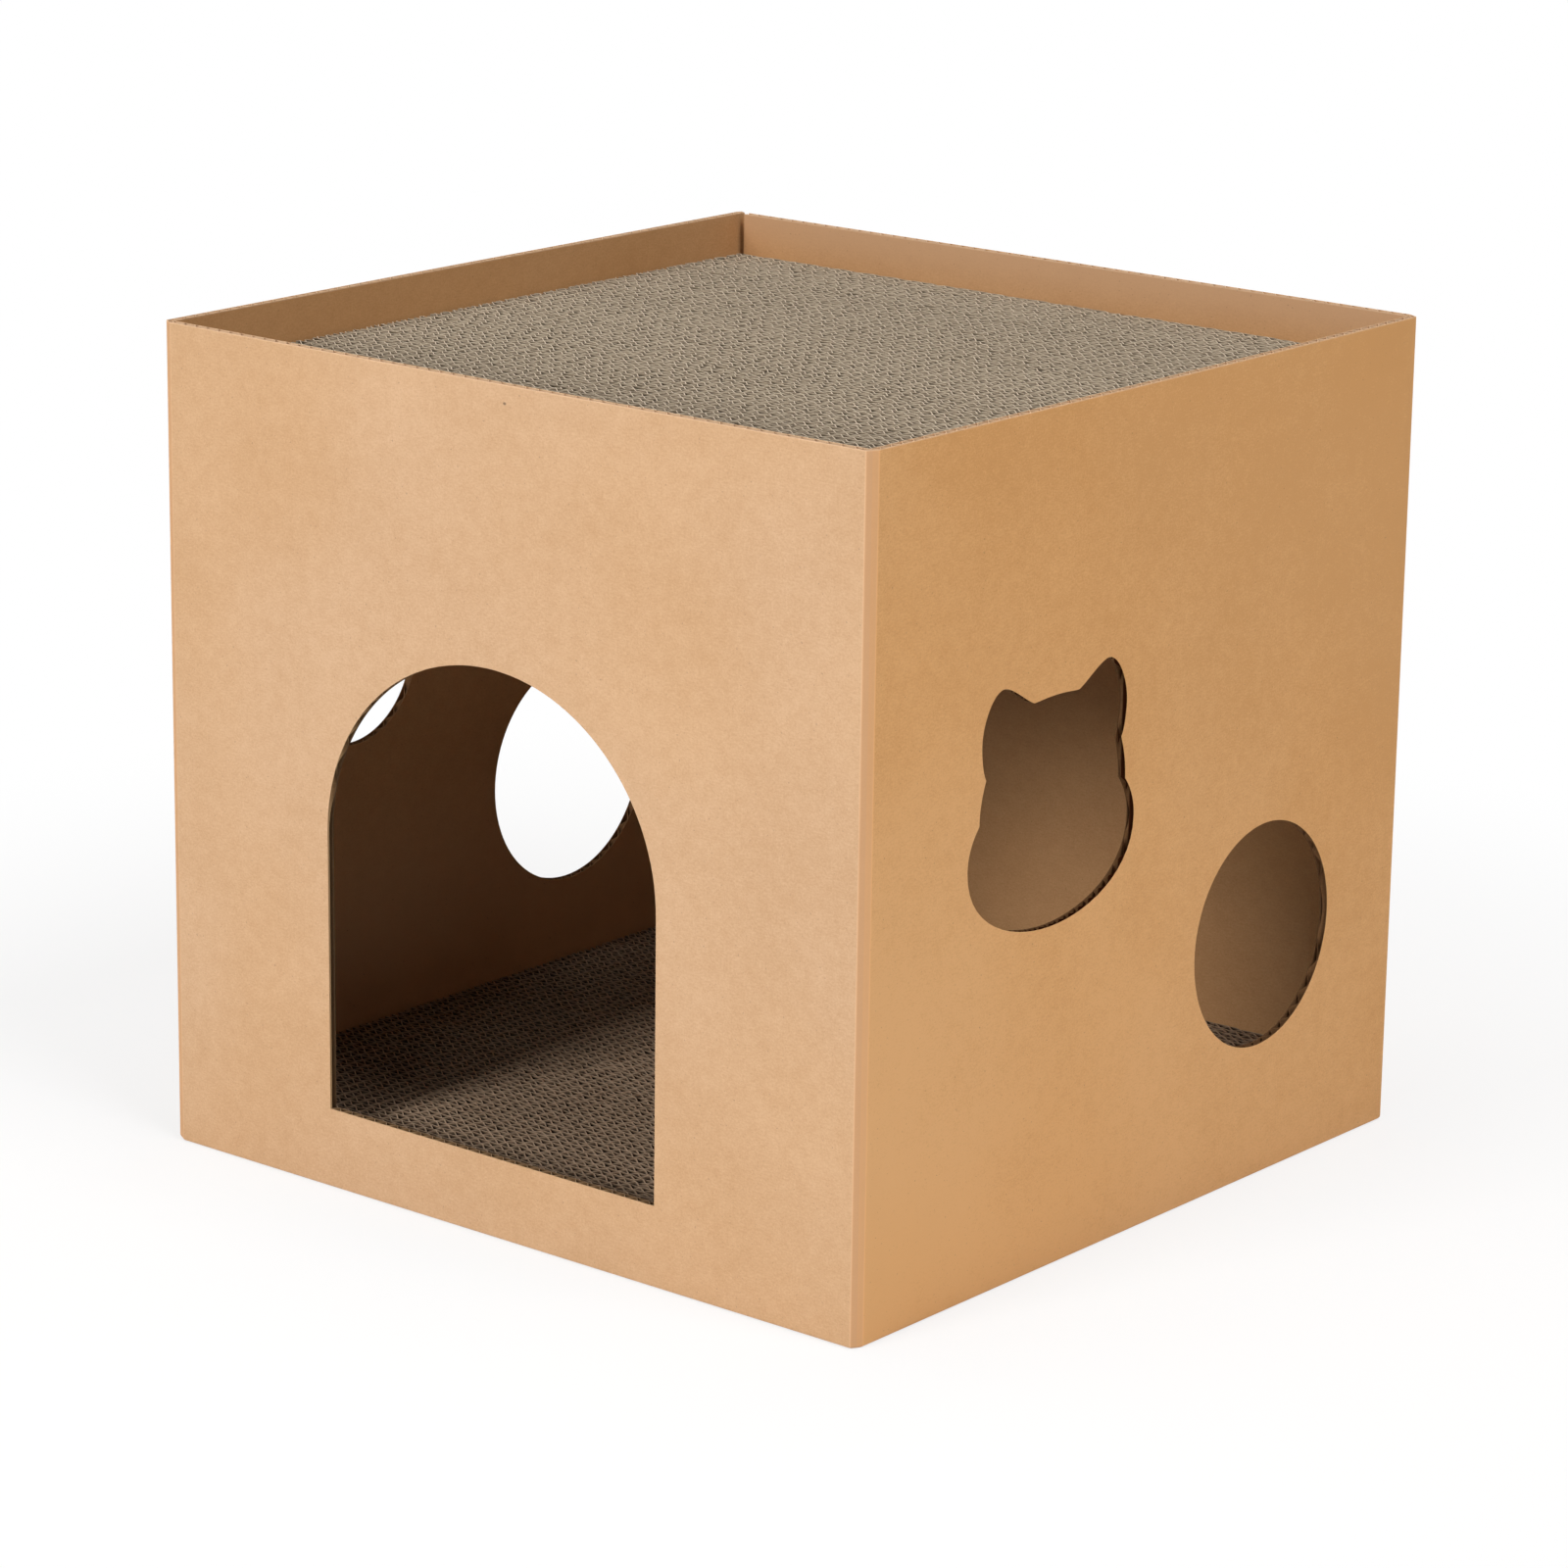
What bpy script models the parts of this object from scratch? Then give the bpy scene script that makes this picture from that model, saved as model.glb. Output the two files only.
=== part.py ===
"""Cardboard cat house: a folded corrugated sleeve with a door and windows, a scratch pad on the
floor, and a second pad that lies below the rim on a shelf board with four corner posts.

Metres, +Z up. The origin is on the ground, under the middle of the house. The door is in the
front wall (-Y), the cat-head window in the right wall (+X).
"""
import math

import bmesh
import bpy
from mathutils import Matrix, Vector

# Outer size of the sleeve
house_width = 0.420
house_depth = 0.420
house_height = 0.400

# Board, its folds and its joint
board = 0.0040
fold_radius = 0.0036
fold_gap = 0.0003
rest_gap = 0.0003
crease_radius = 0.00192
tab_width = 0.036
tab_taper = 0.009
joint_slit = 0.0035

# Door in the front wall, from the wall's left end and from the ground
door_width = 0.200
door_middle = 0.204
door_sill = 0.039
door_straight = 0.135
door_rise = 0.0955

# Cat-head window in the right wall: places from the wall's front end and from the ground
head_middle = 0.134
head_chin_height = 0.163
head_half_width = 0.0616
head_cheek_rise = 0.0385
head_jaw_half_width = 0.0539
head_jaw_rise = 0.0575
head_neck_half_width = 0.0498
head_neck_rise = 0.0776
head_ear_half_width = 0.0533
head_ear_side_rise = 0.094
head_ear_tip_offset = 0.0385
head_ear_tip_rise = 0.1165
head_ear_root_offset = 0.0165
head_ear_root_rise = 0.1060
head_brow_rise = 0.1068

# Its curve handles: lengths, then shares of the run or half width that they bend
head_jaw_flare_below = 0.0040
head_neck_flare_below = 0.0032
head_neck_flare_above = 0.0025
head_ear_tip_handle_out = 0.0080
head_ear_tip_handle_in = 0.0058
head_ear_root_handle_out = 0.0050
head_ear_root_handle_in = 0.0040
head_ear_root_lift = 0.0016
chin_share = 0.44
cheek_share_down = 0.70
cheek_share_up = 0.42
jaw_share_down = 0.24
jaw_share_up = 0.30
neck_share_down = 0.39
neck_share_up = 0.09
ear_share_down = 0.13
ear_share_up = 0.23
brow_share = 0.50

# Round windows: middle from the wall's front end, height above the ground, radius
right_window_middle = 0.3025
right_window_height = 0.1205
right_window_radius = 0.0547
left_window_middle = 0.282
left_window_height = 0.128
left_window_radius = 0.058
left_porthole_middle = 0.1235
left_porthole_height = 0.216
left_porthole_radius = 0.043

# Scratch pads: strips of board on edge, glued face to face
pad_thickness = 0.0200
pad_clearance = 0.0006
strip_thickness = 0.0047
glue_line_width = 0.0009
glue_line_depth = 0.0012

# Upper pad and what carries it
rim_height = 0.0205
shelf_clearance = 0.0010
post_leg = 0.038
post_fold_radius = 0.003
post_clearance = 0.0005

# Bottom flaps
flap_side_clearance = 0.0015
flap_edge_radius = 0.0012

# Fineness of curves
arc_steps = 5
edge_segments = 3
curve_resolution = 10
quarter_handle = 0.5523

# Colours as linear RGB, read by eye from the board
kraft_front = (0.604, 0.342, 0.176)
kraft_side = (0.520, 0.270, 0.120)
kraft_inside = (0.400, 0.210, 0.095)
pad_colour = (0.330, 0.260, 0.180)

# Places that follow from the sizes
half_width = house_width / 2
half_depth = house_depth / 2
back_outer_y = half_depth - board - fold_gap
inner_half_width = half_width - board
inner_front_y = board - half_depth
inner_back_y = back_outer_y - board
inner_depth = inner_back_y - inner_front_y
inner_middle_y = (inner_front_y + inner_back_y) / 2
inner_flap_bottom = board + rest_gap
floor_pad_bottom = inner_flap_bottom + board + rest_gap
floor_pad_top = floor_pad_bottom + pad_thickness
top_pad_bottom = house_height - rim_height - pad_thickness
shelf_bottom = top_pad_bottom - rest_gap - board
post_bottom = floor_pad_top + rest_gap
post_height = shelf_bottom - rest_gap - post_bottom


def clear_scene():
    """Removes every object, so that the script starts from an empty scene."""
    for old in list(bpy.data.objects):
        bpy.data.objects.remove(old, do_unlink=True)


def new_collection(name):
    """A collection linked to the scene."""
    collection = bpy.data.collections.new(name)
    bpy.context.scene.collection.children.link(collection)
    return collection


def board_material(name, colour, roughness=0.9):
    """Plain matt paper in one colour."""
    material = bpy.data.materials.new(name)
    material.use_nodes = True
    shader = material.node_tree.nodes["Principled BSDF"]
    shader.inputs["Base Color"].default_value = (*colour, 1.0)
    shader.inputs["Roughness"].default_value = roughness
    shader.inputs["Metallic"].default_value = 0.0
    return material


def corner(x, y):
    """An outline knot with no handles: the outline turns sharply there."""
    point = Vector((x, y, 0.0))
    return point, point, point


def knot(x, y, before, after):
    """An outline knot with its two handles, given as offsets from it."""
    point = Vector((x, y, 0.0))
    return point, point + Vector((*before, 0.0)), point + Vector((*after, 0.0))


def plate_mesh(name, outline, thickness):
    """A closed plate: a flat outline of knots, filled and thickened evenly to both sides."""
    curve = bpy.data.curves.new(name, "CURVE")
    curve.dimensions = "2D"
    curve.fill_mode = "BOTH"
    curve.extrude = thickness / 2
    curve.resolution_u = curve_resolution
    spline = curve.splines.new("BEZIER")
    spline.bezier_points.add(len(outline) - 1)
    for place, (point, before, after) in zip(spline.bezier_points, outline):
        place.handle_left_type = "FREE"
        place.handle_right_type = "FREE"
        place.co = point
        place.handle_left = before
        place.handle_right = after
    spline.use_cyclic_u = True
    guide = bpy.data.objects.new(name, curve)
    bpy.context.scene.collection.objects.link(guide)
    evaluated = guide.evaluated_get(bpy.context.evaluated_depsgraph_get())
    mesh = bpy.data.meshes.new_from_object(evaluated)
    bpy.data.objects.remove(guide, do_unlink=True)
    tidy = bmesh.new()
    tidy.from_mesh(mesh)
    bmesh.ops.remove_doubles(tidy, verts=tidy.verts, dist=0.00001)
    bmesh.ops.dissolve_limit(tidy, angle_limit=math.radians(0.05), verts=tidy.verts, edges=tidy.edges)
    bmesh.ops.recalc_face_normals(tidy, faces=tidy.faces)
    tidy.to_mesh(mesh)
    tidy.free()
    mesh.name = name
    return mesh


def box_mesh(name, low, high):
    """A closed box between two opposite corners."""
    low, high = Vector(low), Vector(high)
    mesh = bpy.data.meshes.new(name)
    box = bmesh.new()
    bmesh.ops.create_cube(box, size=1.0)
    bmesh.ops.scale(box, vec=high - low, verts=box.verts)
    bmesh.ops.translate(box, vec=(low + high) / 2, verts=box.verts)
    box.to_mesh(mesh)
    box.free()
    return mesh


def add_part(name, mesh, matrix, collection, colour):
    """Adds one sub-part with its own material."""
    part = bpy.data.objects.new(name, mesh)
    part.matrix_world = matrix
    part.data.materials.clear()
    part.data.materials.append(board_material(name + "_board", colour))
    collection.objects.link(part)
    return part


def mark_edges(mesh, wanted):
    """Gives a full bevel weight to each edge whose two ends pass the test."""
    weights = mesh.attributes.new("bevel_weight_edge", "FLOAT", "EDGE")
    for edge, weight in zip(mesh.edges, weights.data):
        first, second = (mesh.vertices[i].co for i in edge.vertices)
        weight.value = 1.0 if wanted(first, second) else 0.0


def round_marked_edges(part, radius):
    """Rounds the marked edges, as a crease leaves them."""
    bevel = part.modifiers.new("crease", "BEVEL")
    bevel.limit_method = "WEIGHT"
    bevel.width = radius
    bevel.segments = edge_segments


def add_cutter(name, outline, thickness, place, collection):
    """A cutter with a flat outline, which reaches past both faces of what it cuts."""
    cutter = bpy.data.objects.new(name, plate_mesh(name, outline, thickness))
    cutter.matrix_world = place
    cutter.hide_render = True
    cutter.display_type = "WIRE"
    collection.objects.link(cutter)
    return cutter


def cut(part, cutter):
    """Cuts one opening or end out of a part."""
    boolean = part.modifiers.new(cutter.name, "BOOLEAN")
    boolean.operation = "DIFFERENCE"
    boolean.solver = "EXACT"
    boolean.object = cutter


def turn(quarters, x, y, z):
    """A place, turned about Z by a number of quarter turns."""
    return Matrix.Translation((x, y, z)) @ Matrix.Rotation(quarters * math.pi / 2, 4, "Z")


def upright(along, x, y, z):
    """Stands a flat outline up: its first axis runs along the given one, its second along Z."""
    up = Vector((0.0, 0.0, 1.0))
    out = along.cross(up)
    axes = Matrix((along, up, out)).transposed().to_4x4()
    return Matrix.Translation((x, y, z)) @ axes


# The sleeve

def fold_plan():
    """Plan of a folded end: its mitre from the inner corner, then half of the rounded outer corner."""
    offset = fold_gap / math.sqrt(2)
    first = math.pi / 4 + math.asin(offset / (math.sqrt(2) * fold_radius))
    points = [(board + offset, board)]
    for step in range(arc_steps + 1):
        angle = first + (math.pi / 2 - first) * step / arc_steps
        points.append((fold_radius * (1 - math.cos(angle)), fold_radius * (1 - math.sin(angle))))
    return points


def off_fold_plan():
    """Plan of what a fold takes off the square end of a panel."""
    fold = fold_plan()
    inner_u = fold[0][0] + board
    outer_u = fold[-1][0]
    return [(inner_u, 2 * board)] + fold + [(outer_u, -board), (-board, -board), (-board, 2 * board)]


def add_panel(name, length, start_folded, end_folded, quarters, x, y, collection, cutters, colour):
    """One panel of the sleeve: a board with a rounded bottom crease and mitred ends at its folds."""
    half_height = house_height / 2
    mesh = box_mesh(name, (0.0, 0.0, -half_height), (length, board, half_height))

    def on_bottom_crease(first, second):
        at_bottom = max(first.z, second.z) < 0
        return at_bottom and abs(first.x - second.x) > length / 2

    mark_edges(mesh, on_bottom_crease)
    place = turn(quarters, x, y, half_height)
    panel = add_part(name, mesh, place, collection, colour)
    round_marked_edges(panel, crease_radius)
    ends = []
    if start_folded:
        ends.append(("start", off_fold_plan()))
    if end_folded:
        ends.append(("end", [(length - u, v) for u, v in off_fold_plan()]))
    for end, plan in ends:
        outline = [corner(u, v) for u, v in plan]
        cut(panel, add_cutter(name + "_" + end + "_cutter", outline, 2 * house_height, place, cutters))
    return panel


def add_tab(collection):
    """The glue tab, folded from the left wall over the outside of the back wall."""
    plan = [(0.0, board), (0.0, 0.0)] + [(tab_width - u, v) for u, v in reversed(fold_plan())]
    mesh = plate_mesh("glue_tab", [corner(u, v) for u, v in plan], house_height)
    for vertex in mesh.vertices:
        away = 1 - vertex.co.x / tab_width
        top = house_height / 2 - board / 2 - tab_taper * away
        vertex.co.z = math.copysign(top, vertex.co.z)
    place = turn(2, tab_width - half_width, half_depth, house_height / 2)
    return add_part("glue_tab", mesh, place, collection, kraft_side)


def door_outline():
    """Door about its own middle and sill: straight sides under a half ellipse."""
    half = door_width / 2
    top = door_straight + door_rise
    side_handle = quarter_handle * door_rise
    top_handle = quarter_handle * half
    return [
        corner(-half, 0.0),
        corner(half, 0.0),
        knot(half, door_straight, (0.0, 0.0), (0.0, side_handle)),
        knot(0.0, top, (top_handle, 0.0), (-top_handle, 0.0)),
        knot(-half, door_straight, (0.0, side_handle), (0.0, 0.0)),
    ]


def round_outline(radius):
    """A circle about its own middle."""
    handle = quarter_handle * radius
    return [
        knot(radius, 0.0, (0.0, -handle), (0.0, handle)),
        knot(0.0, radius, (handle, 0.0), (-handle, 0.0)),
        knot(-radius, 0.0, (0.0, handle), (0.0, -handle)),
        knot(0.0, -radius, (-handle, 0.0), (handle, 0.0)),
    ]


def head_outline():
    """Cat head about its middle and chin: one side from chin to brow, and its mirror image."""
    cheek = head_cheek_rise
    jaw = head_jaw_rise - head_cheek_rise
    neck = head_neck_rise - head_jaw_rise
    ear = head_ear_tip_rise - head_neck_rise
    side = [
        (head_half_width, head_cheek_rise,
         (0.0, -cheek_share_down * cheek), (0.0, cheek_share_up * jaw)),
        (head_jaw_half_width, head_jaw_rise,
         (head_jaw_flare_below, -jaw_share_down * jaw), (0.0, jaw_share_up * neck)),
        (head_neck_half_width, head_neck_rise,
         (head_neck_flare_below, -neck_share_down * neck), (head_neck_flare_above, neck_share_up * ear)),
        (head_ear_half_width, head_ear_side_rise,
         (0.0, -ear_share_down * ear), (0.0, ear_share_up * ear)),
        (head_ear_tip_offset, head_ear_tip_rise,
         (head_ear_tip_handle_out, 0.0), (-head_ear_tip_handle_in, 0.0)),
        (head_ear_root_offset, head_ear_root_rise,
         (head_ear_root_handle_out, head_ear_root_lift), (-head_ear_root_handle_in, 0.0)),
    ]
    chin_handle = chin_share * head_half_width
    brow_handle = brow_share * head_ear_root_offset
    outline = [knot(0.0, 0.0, (-chin_handle, 0.0), (chin_handle, 0.0))]
    outline += [knot(x, y, before, after) for x, y, before, after in side]
    outline.append(knot(0.0, head_brow_rise, (brow_handle, 0.0), (-brow_handle, 0.0)))
    for x, y, before, after in reversed(side):
        outline.append(knot(-x, y, (-after[0], after[1]), (-before[0], before[1])))
    return outline


def build_sleeve(house, cutters):
    """Four panels with their openings, and the glue tab that closes the sleeve."""
    front = add_panel("front_wall", house_width, True, True, 0,
                      -half_width, -half_depth, house, cutters, kraft_front)
    right = add_panel("right_wall", back_outer_y + half_depth, True, True, 1,
                      half_width, -half_depth, house, cutters, kraft_side)
    add_panel("back_wall", house_width - board - joint_slit, True, False, 2,
              half_width, back_outer_y, house, cutters, kraft_side)
    left = add_panel("left_wall", house_depth, True, True, 3,
                     -half_width, half_depth, house, cutters, kraft_side)
    add_tab(house)

    along_x = Vector((1.0, 0.0, 0.0))
    along_y = Vector((0.0, 1.0, 0.0))
    side_x = half_width - board / 2
    windows = (
        ("door_cutter", front, door_outline(), along_x,
         door_middle - half_width, board / 2 - half_depth, door_sill),
        ("head_cutter", right, head_outline(), along_y,
         side_x, head_middle - half_depth, head_chin_height),
        ("right_window_cutter", right, round_outline(right_window_radius), along_y,
         side_x, right_window_middle - half_depth, right_window_height),
        ("left_window_cutter", left, round_outline(left_window_radius), along_y,
         -side_x, left_window_middle - half_depth, left_window_height),
        ("left_porthole_cutter", left, round_outline(left_porthole_radius), along_y,
         -side_x, left_porthole_middle - half_depth, left_porthole_height),
    )
    for name, wall, outline, along, x, y, z in windows:
        cut(wall, add_cutter(name, outline, 3 * board, upright(along, x, y, z), cutters))


# The bottom flaps

def add_flap(name, length, width, quarters, x, y, z, collection):
    """A flap that runs inwards from its crease, where its origin lies at half its thickness."""
    start = board / 2 + fold_gap
    mesh = box_mesh(name, (start, -width / 2, -board / 2), (start + length, width / 2, board / 2))
    mark_edges(mesh, lambda first, second: max(first.x, second.x) < start + length / 2
               and abs(first.y - second.y) > width / 2)
    part = add_part(name, mesh, turn(quarters, x, y, z), collection, kraft_inside)
    round_marked_edges(part, flap_edge_radius)
    return part


def build_flaps(house):
    """Two outer flaps on the ground and two inner ones above them. Each pair meets midway."""
    crease_x = half_width - board / 2
    outer_length = inner_half_width - 1.5 * fold_gap
    outer_width = inner_depth - 2 * flap_side_clearance
    add_flap("outer_flap_left", outer_length, outer_width, 0,
             -crease_x, inner_middle_y, board / 2, house)
    add_flap("outer_flap_right", outer_length, outer_width, 2,
             crease_x, inner_middle_y, board / 2, house)
    inner_length = inner_depth / 2 - 1.5 * fold_gap
    inner_width = 2 * (inner_half_width - flap_side_clearance)
    inner_z = inner_flap_bottom + board / 2
    add_flap("inner_flap_front", inner_length, inner_width, 1,
             0.0, inner_front_y - board / 2, inner_z, house)
    add_flap("inner_flap_back", inner_length, inner_width, 3,
             0.0, inner_back_y + board / 2, inner_z, house)


# The scratch pads and the support of the upper one

def pad_outline():
    """End view of a pad, about its middle and bottom: a slab with a nick at every glue line."""
    depth = inner_depth - 2 * pad_clearance
    strips = round(depth / strip_thickness)
    nicks = [depth * (number / strips - 0.5) for number in range(1, strips)]
    bottom = [(-depth / 2, 0.0)]
    for y in nicks:
        bottom += [(y - glue_line_width / 2, 0.0), (y, glue_line_depth), (y + glue_line_width / 2, 0.0)]
    bottom.append((depth / 2, 0.0))
    top = [(y, pad_thickness - z) for y, z in reversed(bottom)]
    return [corner(y, z) for y, z in bottom + top]


def add_pad(name, bottom, collection):
    """A scratch pad. Its strips run across the house, from side to side."""
    mesh = plate_mesh(name, pad_outline(), 2 * (inner_half_width - pad_clearance))
    place = upright(Vector((0.0, 1.0, 0.0)), 0.0, inner_middle_y, bottom)
    return add_part(name, mesh, place, collection, pad_colour)


def add_shelf(collection):
    """The flat board under the upper pad."""
    half_x = inner_half_width - shelf_clearance
    half_y = inner_depth / 2 - shelf_clearance
    outline = [corner(-half_x, -half_y), corner(half_x, -half_y), corner(half_x, half_y),
               corner(-half_x, half_y)]
    mesh = plate_mesh("shelf_board", outline, board)
    place = turn(0, 0.0, inner_middle_y, shelf_bottom + board / 2)
    return add_part("shelf_board", mesh, place, collection, kraft_inside)


def post_outline():
    """Plan of an angle post from its outer corner: two legs and a rounded fold."""
    points = [(post_leg, 0.0), (post_leg, board), (board, board), (board, post_leg), (0.0, post_leg)]
    for step in range(arc_steps + 1):
        angle = math.pi / 2 * step / arc_steps
        points.append((post_fold_radius * (1 - math.cos(angle)), post_fold_radius * (1 - math.sin(angle))))
    return [corner(u, v) for u, v in points]


def build_posts(house):
    """One angle post in each inner corner, between the floor pad and the shelf board."""
    left = post_clearance - inner_half_width
    right = inner_half_width - post_clearance
    front = inner_front_y + post_clearance
    back = inner_back_y - post_clearance
    places = (
        ("post_front_left", 0, left, front),
        ("post_front_right", 1, right, front),
        ("post_back_right", 2, right, back),
        ("post_back_left", 3, left, back),
    )
    for name, quarters, x, y in places:
        mesh = plate_mesh(name, post_outline(), post_height)
        place = turn(quarters, x, y, post_bottom + post_height / 2)
        add_part(name, mesh, place, house, kraft_inside)


def build():
    """Makes the whole cat house."""
    clear_scene()
    house = new_collection("cardboard_cat_house")
    cutters = new_collection("cutters")
    build_sleeve(house, cutters)
    build_flaps(house)
    add_pad("floor_scratch_pad", floor_pad_bottom, house)
    build_posts(house)
    add_shelf(house)
    add_pad("top_scratch_pad", top_pad_bottom, house)


build()
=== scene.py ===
# Cardboard cat house: the looks of its folded corrugated sleeve, bottom flaps, posts, shelf and scratch pads
import math

import bmesh
import bpy
import numpy as np
from mathutils import Matrix, Vector


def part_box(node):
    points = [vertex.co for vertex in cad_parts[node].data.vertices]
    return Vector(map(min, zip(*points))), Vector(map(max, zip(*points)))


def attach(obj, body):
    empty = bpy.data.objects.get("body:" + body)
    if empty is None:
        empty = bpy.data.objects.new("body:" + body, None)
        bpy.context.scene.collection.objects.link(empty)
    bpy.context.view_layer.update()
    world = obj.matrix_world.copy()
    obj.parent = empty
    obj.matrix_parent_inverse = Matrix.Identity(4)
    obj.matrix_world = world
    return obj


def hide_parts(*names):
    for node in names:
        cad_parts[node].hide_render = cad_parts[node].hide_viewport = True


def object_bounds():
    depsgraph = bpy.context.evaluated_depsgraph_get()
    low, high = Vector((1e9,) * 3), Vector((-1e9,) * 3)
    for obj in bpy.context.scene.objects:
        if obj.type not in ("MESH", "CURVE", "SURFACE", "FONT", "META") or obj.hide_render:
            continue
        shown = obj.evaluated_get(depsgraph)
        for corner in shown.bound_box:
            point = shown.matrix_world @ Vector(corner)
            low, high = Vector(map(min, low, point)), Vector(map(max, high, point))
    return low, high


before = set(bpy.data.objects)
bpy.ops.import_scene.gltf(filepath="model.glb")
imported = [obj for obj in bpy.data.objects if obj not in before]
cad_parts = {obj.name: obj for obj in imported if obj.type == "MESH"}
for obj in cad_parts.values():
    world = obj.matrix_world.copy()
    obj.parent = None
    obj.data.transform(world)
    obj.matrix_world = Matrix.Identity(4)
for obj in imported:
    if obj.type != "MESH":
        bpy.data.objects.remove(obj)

cadBox = [list(corner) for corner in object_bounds()]
mm = 0.001


# Reading the frame

def boxOf(node):
    low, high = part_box(node)
    return np.array(low), np.array(high)


houseLow, houseHigh = (np.array(corner) for corner in cadBox)
shelfLow, shelfHigh = boxOf("shelf_board")
backLow, backHigh = boxOf("back_wall")
tabLow, tabHigh = boxOf("glue_tab")
boardThickness = shelfHigh[2] - shelfLow[2]
wallHeight = houseHigh[2] - houseLow[2]
houseWidth, houseDepth = (houseHigh - houseLow)[:2]
tabLength = tabHigh[0] - houseLow[0]
rightLength = backHigh[1] - houseLow[1]
frontStart = tabLength + houseDepth  # along the blank come the tab, the left, front, right and back walls
sideStart = frontStart + houseWidth


# Meshes from grids

def enter(piece, body, slot, *nodes):
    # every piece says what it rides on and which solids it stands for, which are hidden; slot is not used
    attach(piece, body)
    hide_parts(*nodes)


def gridQuads(rows, columns):
    # corner numbers of the quads of a grid: each point, its right, its upper right and its upper neighbour
    number = np.arange(rows * columns).reshape(rows, columns)
    return np.stack([number[:-1, :-1], number[1:, :-1], number[1:, 1:], number[:-1, 1:]], -1).reshape(-1, 4)


def gridRing(rows, columns):
    # the numbers of a grid's border points, in one turn
    number = np.arange(rows * columns).reshape(rows, columns)
    return np.concatenate([number[:, 0], number[-1, 1:], number[-2::-1, -1], number[0, -2:0:-1]])


def closedSheet(sideA, sideB):
    # two like grids of points, a rim of quads between their borders, all turned so that the volume is positive
    rows, columns = sideA.shape[:2]
    count = rows * columns
    points = np.concatenate([sideA.reshape(-1, 3), sideB.reshape(-1, 3)])
    faces = gridQuads(rows, columns)
    ring = gridRing(rows, columns)
    following = np.roll(ring, -1)
    rim = np.stack([ring, following, following + count, ring + count], -1)
    quads = np.concatenate([faces[:, ::-1], faces + count, rim])
    return points, facingOut(points, quads)


def facingOut(points, quads):
    # six times the volume is the sum over triangles of a . (b x c); a negative sum means inside out
    a, b, c, d = (points[quads[:, k]] for k in range(4))
    volume = np.einsum("ij,ij->", a, np.cross(b, c)) + np.einsum("ij,ij->", a, np.cross(c, d))
    return quads[:, ::-1] if volume < 0 else quads


def addPiece(name, points, faces, material, smoothAngle=50, maps=None, tones=None, hidden=None):
    # maps are pairs and tones single values at the points, and hidden gives chosen faces a second material
    mesh = bpy.data.meshes.new(name)
    mesh.from_pydata(points.tolist(), [], faces.tolist())
    corners = np.empty(len(mesh.loops), np.int32)
    mesh.loops.foreach_get("vertex_index", corners)
    for title, values in (maps or {}).items():
        mesh.uv_layers.new(name=title).uv.foreach_set("vector", values[corners].astype(np.float32).ravel())
    for title, values in (tones or {}).items():
        mesh.attributes.new(title, "FLOAT", "POINT").data.foreach_set("value", values.astype(np.float32))
    piece = bpy.data.objects.new(name, mesh)
    bpy.context.scene.collection.objects.link(piece)
    mesh.materials.append(material)
    if hidden:
        mesh.materials.append(hidden["material"])
        mesh.polygons.foreach_set("material_index", hidden["faces"].astype(np.int32))
    finishShading(mesh, smoothAngle)
    return piece


def finishShading(mesh, smoothAngle=50):
    mesh.shade_smooth()
    mesh.set_sharp_from_angle(angle=math.radians(smoothAngle))
    mesh.update()


# Shader maths

class Wire:
    # one output socket of a material: arithmetic on it adds Math nodes
    def __init__(self, paint, socket):
        self.paint = paint
        self.socket = socket

    def __add__(self, other): return self.paint.math("ADD", self, other)
    def __radd__(self, other): return self.paint.math("ADD", other, self)
    def __sub__(self, other): return self.paint.math("SUBTRACT", self, other)
    def __rsub__(self, other): return self.paint.math("SUBTRACT", other, self)
    def __mul__(self, other): return self.paint.math("MULTIPLY", self, other)
    def __rmul__(self, other): return self.paint.math("MULTIPLY", other, self)
    def __truediv__(self, other): return self.paint.math("DIVIDE", self, other)
    def __rtruediv__(self, other): return self.paint.math("DIVIDE", other, self)
    def __pow__(self, other): return self.paint.math("POWER", self, other)

    def held(self):
        return self.paint.math("MINIMUM", self.paint.math("MAXIMUM", self, 0.0), 1.0)

    def orMore(self, other):
        return self.paint.math("MAXIMUM", self, other)

    def orLess(self, other):
        return self.paint.math("MINIMUM", self, other)

    def sine(self):
        return self.paint.math("SINE", self)


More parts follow.
